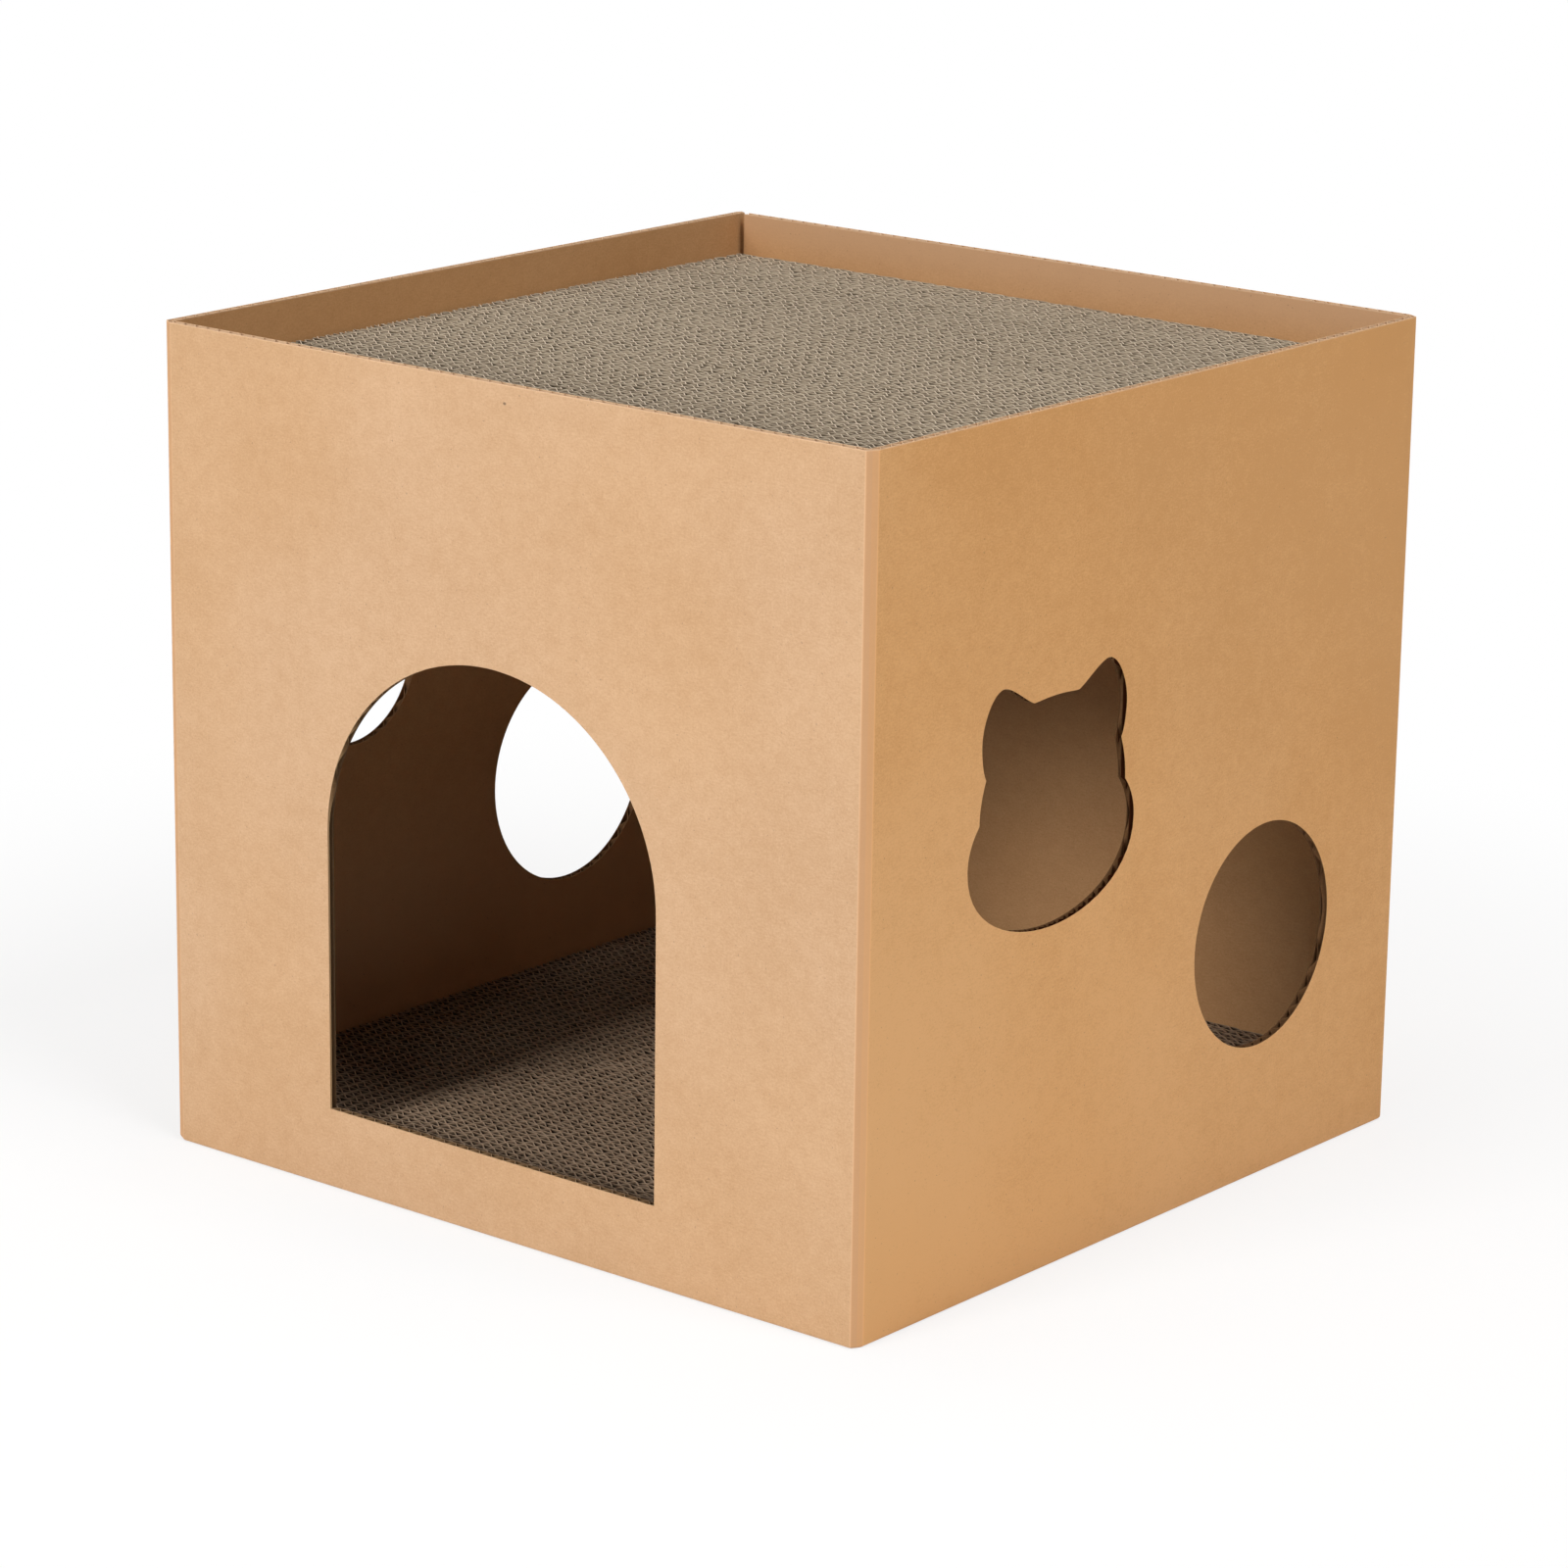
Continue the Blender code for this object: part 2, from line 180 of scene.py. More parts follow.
class Paint:
    # the nodes of a material or of the world, built up by calls
    def __init__(self, owner):
        self.owner = owner
        self.owner.use_nodes = True
        self.tree = self.owner.node_tree
        self.tree.nodes.clear()

    def add(self, kind, settings=None, out=0, **sockets):
        # one node: its settings, then the value or link of each socket, which goes by its name with _ for a
        # space, or by i and its number
        node = self.tree.nodes.new(kind)
        for key, value in (settings or {}).items():
            setattr(node, key, value)
        for key, value in sockets.items():
            self.plug(node.inputs[int(key[1:]) if key[1:].isdigit() else key.replace("_", " ")], value)
        return Wire(self, node.outputs[out]) if node.outputs else None

    def plug(self, socket, value):
        if isinstance(value, Wire):
            self.tree.links.new(value.socket, socket)
        else:
            socket.default_value = value

    def math(self, operation, a, b=0.0):
        return self.add("ShaderNodeMath", {"operation": operation}, i0=a, i1=b)

    def mix(self, factor, a, b, blend="MIX"):
        return self.add("ShaderNodeMix", {"data_type": "RGBA", "blend_type": blend}, out=2,
                        i0=factor, i6=a, i7=b)

    def between(self, value, low, high):
        # 0 below low, 1 above high, with a smooth step between them; low may be above high
        return self.add("ShaderNodeMapRange", {"interpolation_type": "SMOOTHSTEP"},
                        Value=value, From_Min=low, From_Max=high)

    def noise(self, vector, scale, detail=2.0, roughness=0.5):
        return self.add("ShaderNodeTexNoise", Vector=vector, Scale=scale, Detail=detail, Roughness=roughness)

    def shifted(self, vector, place, scale=(1.0, 1.0, 1.0)):
        return self.add("ShaderNodeMapping", Vector=vector, Location=place, Scale=scale)

    def split(self, vector):
        node = self.add("ShaderNodeSeparateXYZ", Vector=vector).socket.node
        return [Wire(self, output) for output in node.outputs]

    def finish(self, **sockets):
        shader = self.add("ShaderNodeBsdfPrincipled", **sockets)
        self.add("ShaderNodeOutputMaterial", Surface=shader)
        return self.owner


def rgb(red, green, blue):
    return (red, green, blue, 1.0)


# Paper finishes

kraftLook = {
    "seedShift": (3.1, 1.7, 0.9),  # how far one seed moves the patterns, in metres
    "cloudScale": 16.0, "cloudShare": 0.85,  # blotches of 60 mm
    "mottleScale": 130.0, "mottleShare": 1.00,  # pulp mottle of 8 mm
    "grainScale": 900.0, "grainShare": 1.60,  # fine grain of 1 mm
    "fibreStretch": (380.0, 1500.0, 1.0), "fibreShare": 1.30,  # fibres lie along the machine direction
    "speckScale": 700.0, "speckLow": 0.715, "speckHigh": 0.77, "speckDark": 0.45, "speckTone": 0.45,
    "paintedShadeAtFarEnd": 0.70,  # painted shade: how much deeper the side's tone is at its far end
    "paintedLightAtFoot": 0.80,  # painted light: how much paler the side's tone is at its foot
    "hueScale": 5.5, "hueSpan": (0.35, 0.65),  # slow drifts towards a yellower paper
    "warmth": (0.985, 0.955, 0.890, 1.0),
    "fluteShow": 0.10,  # how far the flutes show through the liner
    "fibreBump": 0.6, "grainBump": 0.5, "bumpDepth": 0.05 * mm,
    "roughness": 0.68, "roughnessShare": 0.18,
}

# the fold's flat facet is painted a deeper tone, painted shade for its slant, and a painted highlight runs along
# each crease
crease = {"before": 3.0 * mm, "after": 5.4 * mm, "lineWidth": 0.6 * mm, "linePale": 0.42,
          "linePaler": 1.25, "tone": (0.600, 0.325, 0.154), "toneShare": 0.80}
flutePitch = 7.35 * mm
fleck = {"along": frontStart + 213 * mm, "up": 391.6 * mm, "radius": 0.85 * mm, "core": 0.5, "stretch": 1.4,
         "share": 0.75, "tone": (0.100, 0.060, 0.035)}

# painted shade and highlight on the cuts of the openings, by depth from the outer face of the board
headCutShade = {"span": (2.6 * mm, 2.0 * mm), "reach": 20 * mm, "tone": (0.045, 0.010, 0.002)}
doorCut = {
    "pale": {"span": (2.4 * mm, 0.5 * mm), "share": 0.8, "tone": (0.52, 0.33, 0.17)},
    "dark": {"span": (2.0 * mm, 3.6 * mm), "share": 0.45, "tone": (0.050, 0.028, 0.014)},
}


def headPaintedShade(paint, colour):
    # the cut of the cat-head window is painted almost black in the outer half of the board, a painted shade in the
    # hollow of the flutes, and the round window, which lies further back, is left as it is
    x, y, _ = paint.split(paint.add("ShaderNodeTexCoord", out=3))
    outer = paint.between(x, *(houseHigh[0] - depth for depth in headCutShade["span"]))
    return paint.mix(outer * paint.between(y, headCutShade["reach"], 0.0), colour, rgb(*headCutShade["tone"]))


def doorPaintedLightAndShade(paint, colour):
    # the cut of the door falls from a painted highlight at the outside to a painted shade at the inside of the
    # board
    _, y, _ = paint.split(paint.add("ShaderNodeTexCoord", out=3))
    for line in (doorCut["pale"], doorCut["dark"]):
        reached = paint.between(y, *(houseLow[1] + depth for depth in line["span"]))
        colour = paint.mix(reached * line["share"], colour, rgb(*line["tone"]))
    return colour


def kraftPaper(name, deep, pale, seed, creased=False, paleRimReach=0.0, edgeShare=0.55, paintedShadeSpan=None,
               flecked=False, paintedLightZone=None, shade=None, specular=0.35):
    # paper between a deep and a pale tone, by a weighted sum of clouds, mottle, grain and fibres;
    # a paler tone reaches a little way down from the rim: a cut edge with a painted highlight on the liners,
    # painted light on the dark flutes; along a given stretch painted shade deepens the tone, and painted light
    # pales it at the foot; flecked adds the one dark chip of bark in the pulp near the front's rim; a given span
    # of heights gets a paler tone as painted light; and shade paints shade, at the door with a painted highlight,
    # on the flutes behind a cut edge
    look = kraftLook
    paint = Paint(bpy.data.materials.new(name))
    boardMap = paint.add("ShaderNodeUVMap", {"uv_map": "boardMap"})
    place = paint.shifted(boardMap, tuple(seed * step for step in look["seedShift"]))
    cloud = paint.noise(place, look["cloudScale"], 2.0)
    mottle = paint.noise(place, look["mottleScale"], 3.0, 0.6)
    grain = paint.noise(place, look["grainScale"], 2.0, 0.6)
    strands = paint.shifted(place, (0.0, 0.0, seed), look["fibreStretch"])
    fibre = paint.noise(strands, 1.0, 3.0, 0.65)
    tone = (0.5 + look["cloudShare"] * (cloud - 0.5) + look["mottleShare"] * (mottle - 0.5)
            + look["grainShare"] * (grain - 0.5) + look["fibreShare"] * (fibre - 0.5))
    along, up, _ = paint.split(boardMap)
    if paintedShadeSpan:
        # painted shade deepens the side's tone towards its far end, and painted light pales it at its foot
        reached = paint.add("ShaderNodeMapRange", Value=along, From_Min=paintedShadeSpan[0], From_Max=paintedShadeSpan[1])
        tone = tone + look["paintedShadeAtFarEnd"] * (0.5 - reached) + look["paintedLightAtFoot"] * (0.5 - up / wallHeight)
    colour = paint.mix(tone.held(), rgb(*deep), rgb(*pale))
    drift = paint.between(paint.noise(place, look["hueScale"], 1.0), *look["hueSpan"])
    colour = paint.mix(drift, colour, look["warmth"], "MULTIPLY")
    if paintedLightZone:
        # a paler tone over a span of heights, as painted light
        colour = paint.mix(paint.between(up, *paintedLightZone["span"]) * paintedLightZone["share"], colour, rgb(*paintedLightZone["tone"]))
    speckNoise = paint.noise(place, look["speckScale"], 1.0)
    speck = paint.between(speckNoise, look["speckLow"], look["speckHigh"]) * look["speckDark"]
    colour = paint.mix(speck, colour, rgb(*(look["speckTone"] * value for value in deep)))
    if creased:
        # painted shade on the fold's slanted facet, and a painted highlight along each crease
        gap, inside, _ = paint.split(paint.add("ShaderNodeUVMap", {"uv_map": "foldMap"}))
        colour = paint.mix(inside.held() * crease["toneShare"], colour, rgb(*crease["tone"]))
        line = paint.between(gap, crease["lineWidth"], 0.0)
        paler = rgb(*(min(1.0, crease["linePaler"] * value) for value in pale))
        colour = paint.mix(line * crease["linePale"], colour, paler)
    if shade:
        colour = shade(paint, colour)
    if paleRimReach:
        # a paler tone near the rim: a cut edge with a painted highlight on the liners, painted light on the flutes
        rim = paint.between(up, wallHeight - paleRimReach, wallHeight - paleRimReach / 2)
        colour = paint.mix(rim * edgeShare, colour, rgb(*paleRimTone))
    if flecked:
        apart = (((along - fleck["along"]) / fleck["stretch"]) ** 2 + (up - fleck["up"]) ** 2) ** 0.5
        chip = paint.between(apart, fleck["radius"], fleck["core"] * fleck["radius"])
        colour = paint.mix(chip * fleck["share"], colour, rgb(*fleck["tone"]))
    wave = (along * (2 * math.pi / flutePitch)).sine()
    height = look["fibreBump"] * fibre + look["grainBump"] * grain + look["fluteShow"] * wave
    normal = paint.add("ShaderNodeBump", Height=height, Distance=look["bumpDepth"], Strength=1.0)
    roughness = look["roughness"] + look["roughnessShare"] * (fibre - 0.5)
    return paint.finish(Base_Color=colour, Roughness=roughness, Normal=normal, Specular_IOR_Level=specular)


padLook = {
    "top_scratch_pad": {
        "deep": (0.248, 0.188, 0.123), "pale": (0.478, 0.382, 0.273), "edge": (0.625, 0.521, 0.390)},
    # the floor pad's paper is a deeper, browner copy of the top pad's, as painted shade inside the house
    "floor_scratch_pad": {
        "deep": (0.185, 0.120, 0.074), "pale": (0.365, 0.255, 0.169), "edge": (0.610, 0.443, 0.304)},
    "patchScale": 22.0, "cellScale": 190.0, "grainScale": 900.0, "fuzzScale": 2600.0,
    "stripShare": 0.16, "patchShare": 0.4, "cellShare": 0.9, "grainShare": 0.6,
    # pale cut edges, partly a painted highlight, and painted shade down in the hollows
    "edgeReach": 0.16 * mm, "hollowStart": 0.25 * mm, "hollowReach": 1.35 * mm, "hollowDark": 0.93,
    "hollowTone": 0.25, "endFade": (0.1 * mm, 1.0 * mm), "sideFade": (0.03 * mm, 0.13 * mm),
    "roughness": 0.85, "specular": 0.2, "bumpDepth": 0.08 * mm,
}


def padPaper(node):
    # grey-brown recycled paper: its tone changes from strip to strip, its cut edges are pale with fuzz, partly
    # their own tone and partly a painted highlight, and painted shade darkens it down into the hollows from above
    # and below, but not on the pad's own sides
    look = {**padLook, **padLook[node]}
    low, high = boxOf(node)
    paint = Paint(bpy.data.materials.new(node + "_paper_painted_light_and_shade"))
    spot = paint.add("ShaderNodeTexCoord", out=3)
    x, y, z = paint.split(spot)
    patch = paint.noise(spot, look["patchScale"], 3.0)
    cell = paint.noise(spot, look["cellScale"], 1.0)
    grain = paint.noise(spot, look["grainScale"], 2.0, 0.6)
    fuzz = paint.noise(spot, look["fuzzScale"], 1.0)
    strip = paint.add("ShaderNodeAttribute", {"attribute_name": "stripTone"}, out=2)
    sunk = paint.add("ShaderNodeAttribute", {"attribute_name": "sunk"}, out=2)
    tone = (0.5 + look["stripShare"] * strip + look["patchShare"] * (patch - 0.5)
            + look["cellShare"] * (cell - 0.5) + look["grainShare"] * (grain - 0.5)).held()
    colour = paint.mix(tone, rgb(*look["deep"]), rgb(*look["pale"]))
    below = (high[2] - z - sunk).orLess(z - low[2])
    # pale cut edges at the top and the bottom, partly the paper's own tone and partly a painted highlight
    cut = paint.between(below, look["edgeReach"], 0.0)
    colour = paint.mix(cut, colour, rgb(*look["edge"]))
    endwards = (x - low[0]).orLess(high[0] - x)
    sidewards = (y - low[1]).orLess(high[1] - y)
    within = paint.between(endwards, *look["endFade"]) * paint.between(sidewards, *look["sideFade"])
    # painted shade down in the hollows
    hollow = paint.between(below, look["hollowStart"], look["hollowReach"]) * within * look["hollowDark"]
    colour = paint.mix(hollow, colour, rgb(*(look["hollowTone"] * value for value in look["deep"])))
    normal = paint.add("ShaderNodeBump", Height=fuzz + grain, Distance=look["bumpDepth"], Strength=1.0)
    return paint.finish(Base_Color=colour, Roughness=look["roughness"], Normal=normal,
                        Specular_IOR_Level=look["specular"])


# the foot tone is painted light on the door's sill, which faces up
cutLook = {
    "grainScale": 1400.0, "roughness": 0.85, "footFade": (2 * mm, 1 * mm), "sillPaintedLight": (0.50, 0.33, 0.20),
}


def cutPaper(name, deep, pale, shade, specular, foot=None):
    # a die-cut edge: a deep tone of painted shade with fine grain, with painted light and shade by depth through
    # the board; foot is a height below which it is paler, painted light on the sill that faces up
    paint = Paint(bpy.data.materials.new(name))
    spot = paint.add("ShaderNodeTexCoord", out=3)
    colour = paint.mix(paint.noise(spot, cutLook["grainScale"], 2.0), rgb(*deep), rgb(*pale))
    if foot:
        below = paint.between(paint.split(spot)[2], *(foot + reach for reach in cutLook["footFade"]))
        colour = paint.mix(below, colour, rgb(*cutLook["sillPaintedLight"]))
    return paint.finish(Base_Color=shade(paint, colour), Roughness=cutLook["roughness"],
                        Specular_IOR_Level=specular)


# the front paper is a paler, greyer copy of the side paper with a painted sheen, and the inside paper a deeper
# copy as painted shade inside the house
paperTones = {
    "front": ((0.518, 0.310, 0.162), (0.613, 0.394, 0.234)),
    "side": ((0.628, 0.322, 0.115), (0.742, 0.409, 0.171)),
    "plain": ((0.470, 0.280, 0.145), (0.560, 0.355, 0.205)),
    "inside": ((0.448, 0.231, 0.092), (0.540, 0.295, 0.130)),
    # the flute and cut tones are dark as painted shade in the hollows of the board
    "flute": ((0.205, 0.115, 0.053), (0.270, 0.158, 0.078)),
    "windowFlute": ((0.185, 0.092, 0.040), (0.245, 0.128, 0.060)),
    "doorCut": ((0.150, 0.088, 0.045), (0.300, 0.180, 0.095)),
}
# the paler tone at the rim: on the liners a cut edge with a painted highlight, on the dark flutes painted light
# that reaches down from above
paleRimTone = (0.74, 0.50, 0.31)
outsideMake = {"creased": True, "paleRimReach": 0.5 * mm}
insideMake = {"seed": 3.0, "paleRimReach": 0.6 * mm}
fluteMake = {"seed": 4.0, "paleRimReach": 4.0 * mm, "edgeShare": 0.95}
papers = {
    "frontSheenFace": kraftPaper("kraft_front_face_painted_sheen", *paperTones["front"], seed=1.0, **outsideMake, flecked=True),
    "sideFace": kraftPaper("kraft_side_face_painted_light_and_shade", *paperTones["side"], seed=2.0, **outsideMake,
                           paintedShadeSpan=(sideStart, sideStart + rightLength)),
    "plainFace": kraftPaper("kraft_plain_face", *paperTones["plain"], seed=5.0),
    "insideShadedFace": kraftPaper("kraft_inside_face_painted_shade", *paperTones["inside"], **insideMake),
    # painted light: a paler tone low on the left wall's inside, and near the rim of the back wall's inside
    "leftInsidePaintedLight": kraftPaper("kraft_left_inside_painted_light", *paperTones["inside"], **insideMake,
                             paintedLightZone={"span": (0.17, 0.06), "share": 0.65, "tone": (0.640, 0.410, 0.215)}),
    "backInsidePaintedLight": kraftPaper("kraft_back_inside_painted_light", *paperTones["inside"], **insideMake,
                             paintedLightZone={"span": (0.374, 0.402), "share": 0.80, "tone": (0.575, 0.338, 0.185)}),
    "flute": kraftPaper("kraft_flutes", *paperTones["flute"], **fluteMake),
    "windowFlute": kraftPaper("kraft_flutes_at_windows_painted_shade", *paperTones["windowFlute"], **fluteMake,
                              shade=headPaintedShade, specular=0.04),
    "doorFlute": kraftPaper("kraft_flutes_at_door_painted_light_and_shade", *paperTones["flute"], **fluteMake,
                            shade=doorPaintedLightAndShade, specular=0.04),
}
print("stage: paper finishes")


# Corrugated board along a folded line

paper = {"liner": 0.35 * mm, "flute": 0.25 * mm, "stepsPerFlute": 10, "crushShare": 0.6, "crushReach": 3.0 * mm}
fold = {"round": 1.0 * mm, "innerCut": 0.8 * mm, "reach": 7.6 * mm, "arcSteps": 4}
# bodyRows and columns are counted on a wall of the size span
wallRows = {"creaseRadius": 1.92 * mm, "creaseSteps": 5, "bodyRows": 16, "columns": 26, "span": 0.4}


def axesOf(plan):
    # a plan's own axes: along its outer face, into the board, and up
    return [np.array(axis, float) for axis in plan["axes"]]


def filleted(start, corner, end, radius, steps):
    # a path from start to end with an arc at the corner: centre + radius * (cos, sin) between the two legs
    start, corner, end = (np.array(p, float) for p in (start, corner, end))
    legA = (start - corner) / np.linalg.norm(start - corner)
    legB = (end - corner) / np.linalg.norm(end - corner)
    halfAngle = math.acos(float(legA @ legB)) / 2
    middle = (legA + legB) / np.linalg.norm(legA + legB)
    centre = corner + middle * radius / math.sin(halfAngle)
    touchA = corner + legA * radius / math.tan(halfAngle)
    touchB = corner + legB * radius / math.tan(halfAngle)
    share = np.linspace(0, 1, steps + 1)[:, None]
    spokes = (1 - share) * (touchA - centre) + share * (touchB - centre)
    arc = centre + radius * spokes / np.linalg.norm(spokes, axis=1, keepdims=True)
    return np.concatenate([start[None], arc, end[None]])


def evenly(path, count):
    # count points along a path, at equal steps of its length
    length = np.concatenate([[0], np.cumsum(np.linalg.norm(np.diff(path, axis=0), axis=1))])
    wanted = np.linspace(0, length[-1], count)
    return np.stack([np.interp(wanted, length, path[:, k]) for k in range(2)], -1)


def halfFold(near, far):
    # half of a fold about its outer corner (0, 0), for a panel that runs along +u with its inside at +v:
    # a flat facet outside between a crease at near on this panel and one at far on its neighbour,
    # and a pinched corner inside
    outer = filleted((near / 2, far / 2), (near, 0), (fold["reach"], 0), fold["round"], fold["arcSteps"])
    inset, cut = boardThickness, fold["innerCut"]
    inner = np.array([(inset + cut / 2, inset + cut / 2), (inset + cut, inset), (fold["reach"], inset)])
    return outer, evenly(inner, len(outer))


def legLine(length, foldedStart, foldedEnd):
    # the outer and inner lines of one straight leg in plan, with half a fold at each folded end
    reach = fold["reach"]
    low = reach if foldedStart else 0.0
    high = length - reach if foldedEnd else length
    columns = max(2, round(wallRows["columns"] * (high - low) / wallRows["span"]))
    straight = np.linspace(low, high, columns + 1)
    flat = np.zeros_like(straight)
    outer, inner = np.stack([straight, flat], -1), np.stack([straight, flat + boardThickness], -1)
    if foldedStart:
        out, ins = halfFold(crease["after"], crease["before"])
        outer, inner = np.concatenate([out[:-1], outer]), np.concatenate([ins[:-1], inner])
    if foldedEnd:
        out, ins = (line[::-1] * (-1, 1) + (length, 0) for line in halfFold(crease["before"], crease["after"]))
        outer, inner = np.concatenate([outer, out[1:]]), np.concatenate([inner, ins[1:]])
    return outer, inner


def boardLine(legs, foldedStart=False, foldedEnd=False):
    # legs one after the other, each turned a quarter inwards from the one before, as one line
    outer, inner, joints = np.empty((0, 2)), np.empty((0, 2)), []
    origin, along, into = np.zeros(2), np.array([1.0, 0.0]), np.array([0.0, 1.0])
    for number, length in enumerate(legs):
        first, last = number == 0, number == len(legs) - 1
        hasStart, hasEnd = foldedStart or not first, foldedEnd or not last
        out, ins = legLine(length, hasStart, hasEnd)
        out, ins = (origin + line[:, :1] * along + line[:, 1:] * into for line in (out, ins))
        skip = 0 if first else 1
        joints += [max(0, len(outer) - 1)] * hasStart
        outer, inner = np.concatenate([outer, out[skip:]]), np.concatenate([inner, ins[skip:]])
        origin, along, into = origin + along * length, into, -along
    joints += [len(outer) - 1] * foldedEnd
    reached = np.concatenate([[0], np.cumsum(np.linalg.norm(np.diff(outer, axis=0), axis=1))])
    return {"outer": outer, "inner": inner, "reached": reached, "folds": [reached[joint] for joint in joints]}


def foldMarks(line, reached):
    # how far each point of the outer line lies from the nearest crease, and 1 between the creases of a fold
    if not line["folds"]:
        return np.ones_like(reached), np.zeros_like(reached)
    facet = math.hypot(crease["before"], crease["after"]) / 2
    away = np.min([np.abs(reached - place) for place in line["folds"]], axis=0)
    return np.abs(away - facet), (away < facet).astype(float)


def rowHeights(height, creaseRadius):
    # close rows over a rounded crease at the foot, then even rows to the top
    rows = max(1, round(wallRows["bodyRows"] * height / wallRows["span"]))
    if not creaseRadius:
        return np.linspace(0, height, rows + 1)
    turn = np.linspace(0, math.pi / 2, wallRows["creaseSteps"] + 1)
    return np.concatenate([creaseRadius * (1 - np.cos(turn)), np.linspace(creaseRadius, height, rows + 1)[1:]])


def onBoard(plan, line, reached, depth, height):
    # a point at an arc length, a depth from 0 outside to 1 inside and a height:
    # outer + (inner - outer) * depth
    outer, inner = (np.stack([np.interp(reached, line["reached"], line[side][:, k]) for k in range(2)], -1)
                    for side in ("outer", "inner"))
    radius = plan.get("creaseRadius", 0.0)
    if radius:
        below = np.clip(radius - height, 0, radius)
        pinch = (radius - np.sqrt(radius ** 2 - below ** 2)) / boardThickness
        depth = pinch + (1 - 2 * pinch) * depth
    flat = outer + (inner - outer) * depth[..., None]
    if "taper" in plan:
        middle = plan["height"] / 2
        away = np.clip(1 - reached / line["reached"][-1], 0, 1)
        height = middle + (height - middle) * (1 - plan["taper"] * away / middle)
    alongU, intoV, upW = axesOf(plan)
    return (np.array(plan["origin"]) + flat[..., :1] * alongU + flat[..., 1:] * intoV + height[..., None] * upW)


def fluteLine(line, startPhase):
    # a sine wave between the liners, flattened where a fold crushes it, thickened along its normal
    share = paper["flute"] / boardThickness
    swing = 0.5 - paper["liner"] / boardThickness - share / 2
    total = line["reached"][-1]
    steps = max(4, round(total / flutePitch * paper["stepsPerFlute"]))
    reached = np.linspace(0, total, steps + 1)
    crush = np.ones_like(reached)
    for place in line["folds"]:
        crush -= paper["crushShare"] * np.exp(-((reached - place) / paper["crushReach"]) ** 2)
    centre = 0.5 + swing * crush * np.sin(2 * math.pi * (reached + startPhase) / flutePitch)
    slope = np.arctan(np.gradient(centre * boardThickness, reached))
    sideways, across = np.sin(slope) * paper["flute"] / 2, np.cos(slope) * share / 2
    return [(np.clip(reached + sign * sideways, 0, total), centre - sign * across) for sign in (1, -1)]


def layerPiece(plan, line, layer, heights):
    # one sheet of the board: the outer liner, the flutes or the inner liner
    liner = paper["liner"] / boardThickness
    if layer == "flutes":
        sides = fluteLine(line, plan["mapStart"])
    else:
        depths = (0.0, liner) if layer == "outer_liner" else (1 - liner, 1.0)
        sides = [(line["reached"], np.full_like(line["reached"], depth)) for depth in depths]
    grids = []
    for reached, depth in sides:
        shape = (len(reached), len(heights))
        along, deep = (np.broadcast_to(v[:, None], shape) for v in (reached, depth))
        grids.append(onBoard(plan, line, along, deep, np.broadcast_to(heights, shape)))
    points, quads = closedSheet(*grids)
    along, up = np.meshgrid(sides[0][0] + plan["mapStart"], heights, indexing="ij")
    gaps, flats = (np.broadcast_to(mark[:, None], along.shape) for mark in foldMarks(line, sides[0][0]))
    maps = {title: np.tile(np.stack(pair, -1).reshape(-1, 2), (2, 1))
            for title, pair in (("boardMap", (along, up)), ("foldMap", (gaps, flats)))}
    inFlutes = None
    if layer != "flutes" and plan["papers"]["flutes"] != "flute":
        # the side of a liner that faces the flutes shows in the cuts, in the same dark tone of painted shade as
        # they have
        side = 1 if layer == "outer_liner" else 0
        perSide = (grids[0].shape[0] - 1) * (grids[0].shape[1] - 1)
        chosen = np.zeros(len(quads), int)
        chosen[side * perSide:(side + 1) * perSide] = 1
        inFlutes = {"material": papers[plan["papers"]["flutes"]], "faces": chosen}
    material = papers[plan["papers"][layer]]
    return addPiece(plan["name"] + "_" + layer, points, quads, material, maps=maps, hidden=inFlutes)


def corrugatedBoard(plan):
    line = boardLine(plan["legs"], plan.get("foldedStart", False), plan.get("foldedEnd", False))
    heights = rowHeights(plan["height"], plan.get("creaseRadius", 0.0))
    outerSlot, innerSlot = plan["slots"]
    pieces = []
    for layer, slot in (("outer_liner", outerSlot), ("flutes", "kraft_inside"), ("inner_liner", innerSlot)):
        piece = layerPiece(plan, line, layer, heights)
        enter(piece, plan["body"], slot, *plan["nodes"])
        pieces.append(piece)
    return pieces


# Die cuts

def prism(outline, plan, clear):
    # an outline in a wall's own length and height, carried from clear before the board to clear behind it
    alongU, intoV, upW = axesOf(plan)
    flat = np.array(plan["origin"]) + outline[:, :1] * alongU + outline[:, 1:] * upW
    points = np.concatenate([flat - clear * intoV, flat + (boardThickness + clear) * intoV])
    count = len(outline)
    ring = np.arange(count)
    following = np.roll(ring, -1)
    sides = np.stack([ring, following, following + count, ring + count], -1).tolist()
    return points, [ring[::-1].tolist(), (ring + count).tolist()] + sides


def dieCut(pieces, plan, outlines, finish, clear=3 * mm):
    # cuts every layer of a wall with one cutter that holds all of its openings
    points, faces = np.empty((0, 3)), []
    for outline in outlines:
        more, added = prism(outline, plan, clear)
        faces += [[corner + len(points) for corner in face] for face in added]
        points = np.concatenate([points, more])
    cutterMesh = bpy.data.meshes.new("cutter")
    cutterMesh.from_pydata(points.tolist(), [], faces)
    cutterMesh.materials.append(finish)
    cutter = bpy.data.objects.new("cutter", cutterMesh)
    bpy.context.scene.collection.objects.link(cutter)
    rightWayOut(cutterMesh)
    for piece in pieces:
        knife = piece.modifiers.new("die", "BOOLEAN")
        knife.operation, knife.solver, knife.material_mode = "DIFFERENCE", "EXACT", "TRANSFER"
        knife.object = cutter
        evaluated = piece.evaluated_get(bpy.context.evaluated_depsgraph_get())
        cut = bpy.data.meshes.new_from_object(evaluated)
        piece.modifiers.clear()
        piece.data = cut
        finishShading(cut)
    bpy.data.objects.remove(cutter)


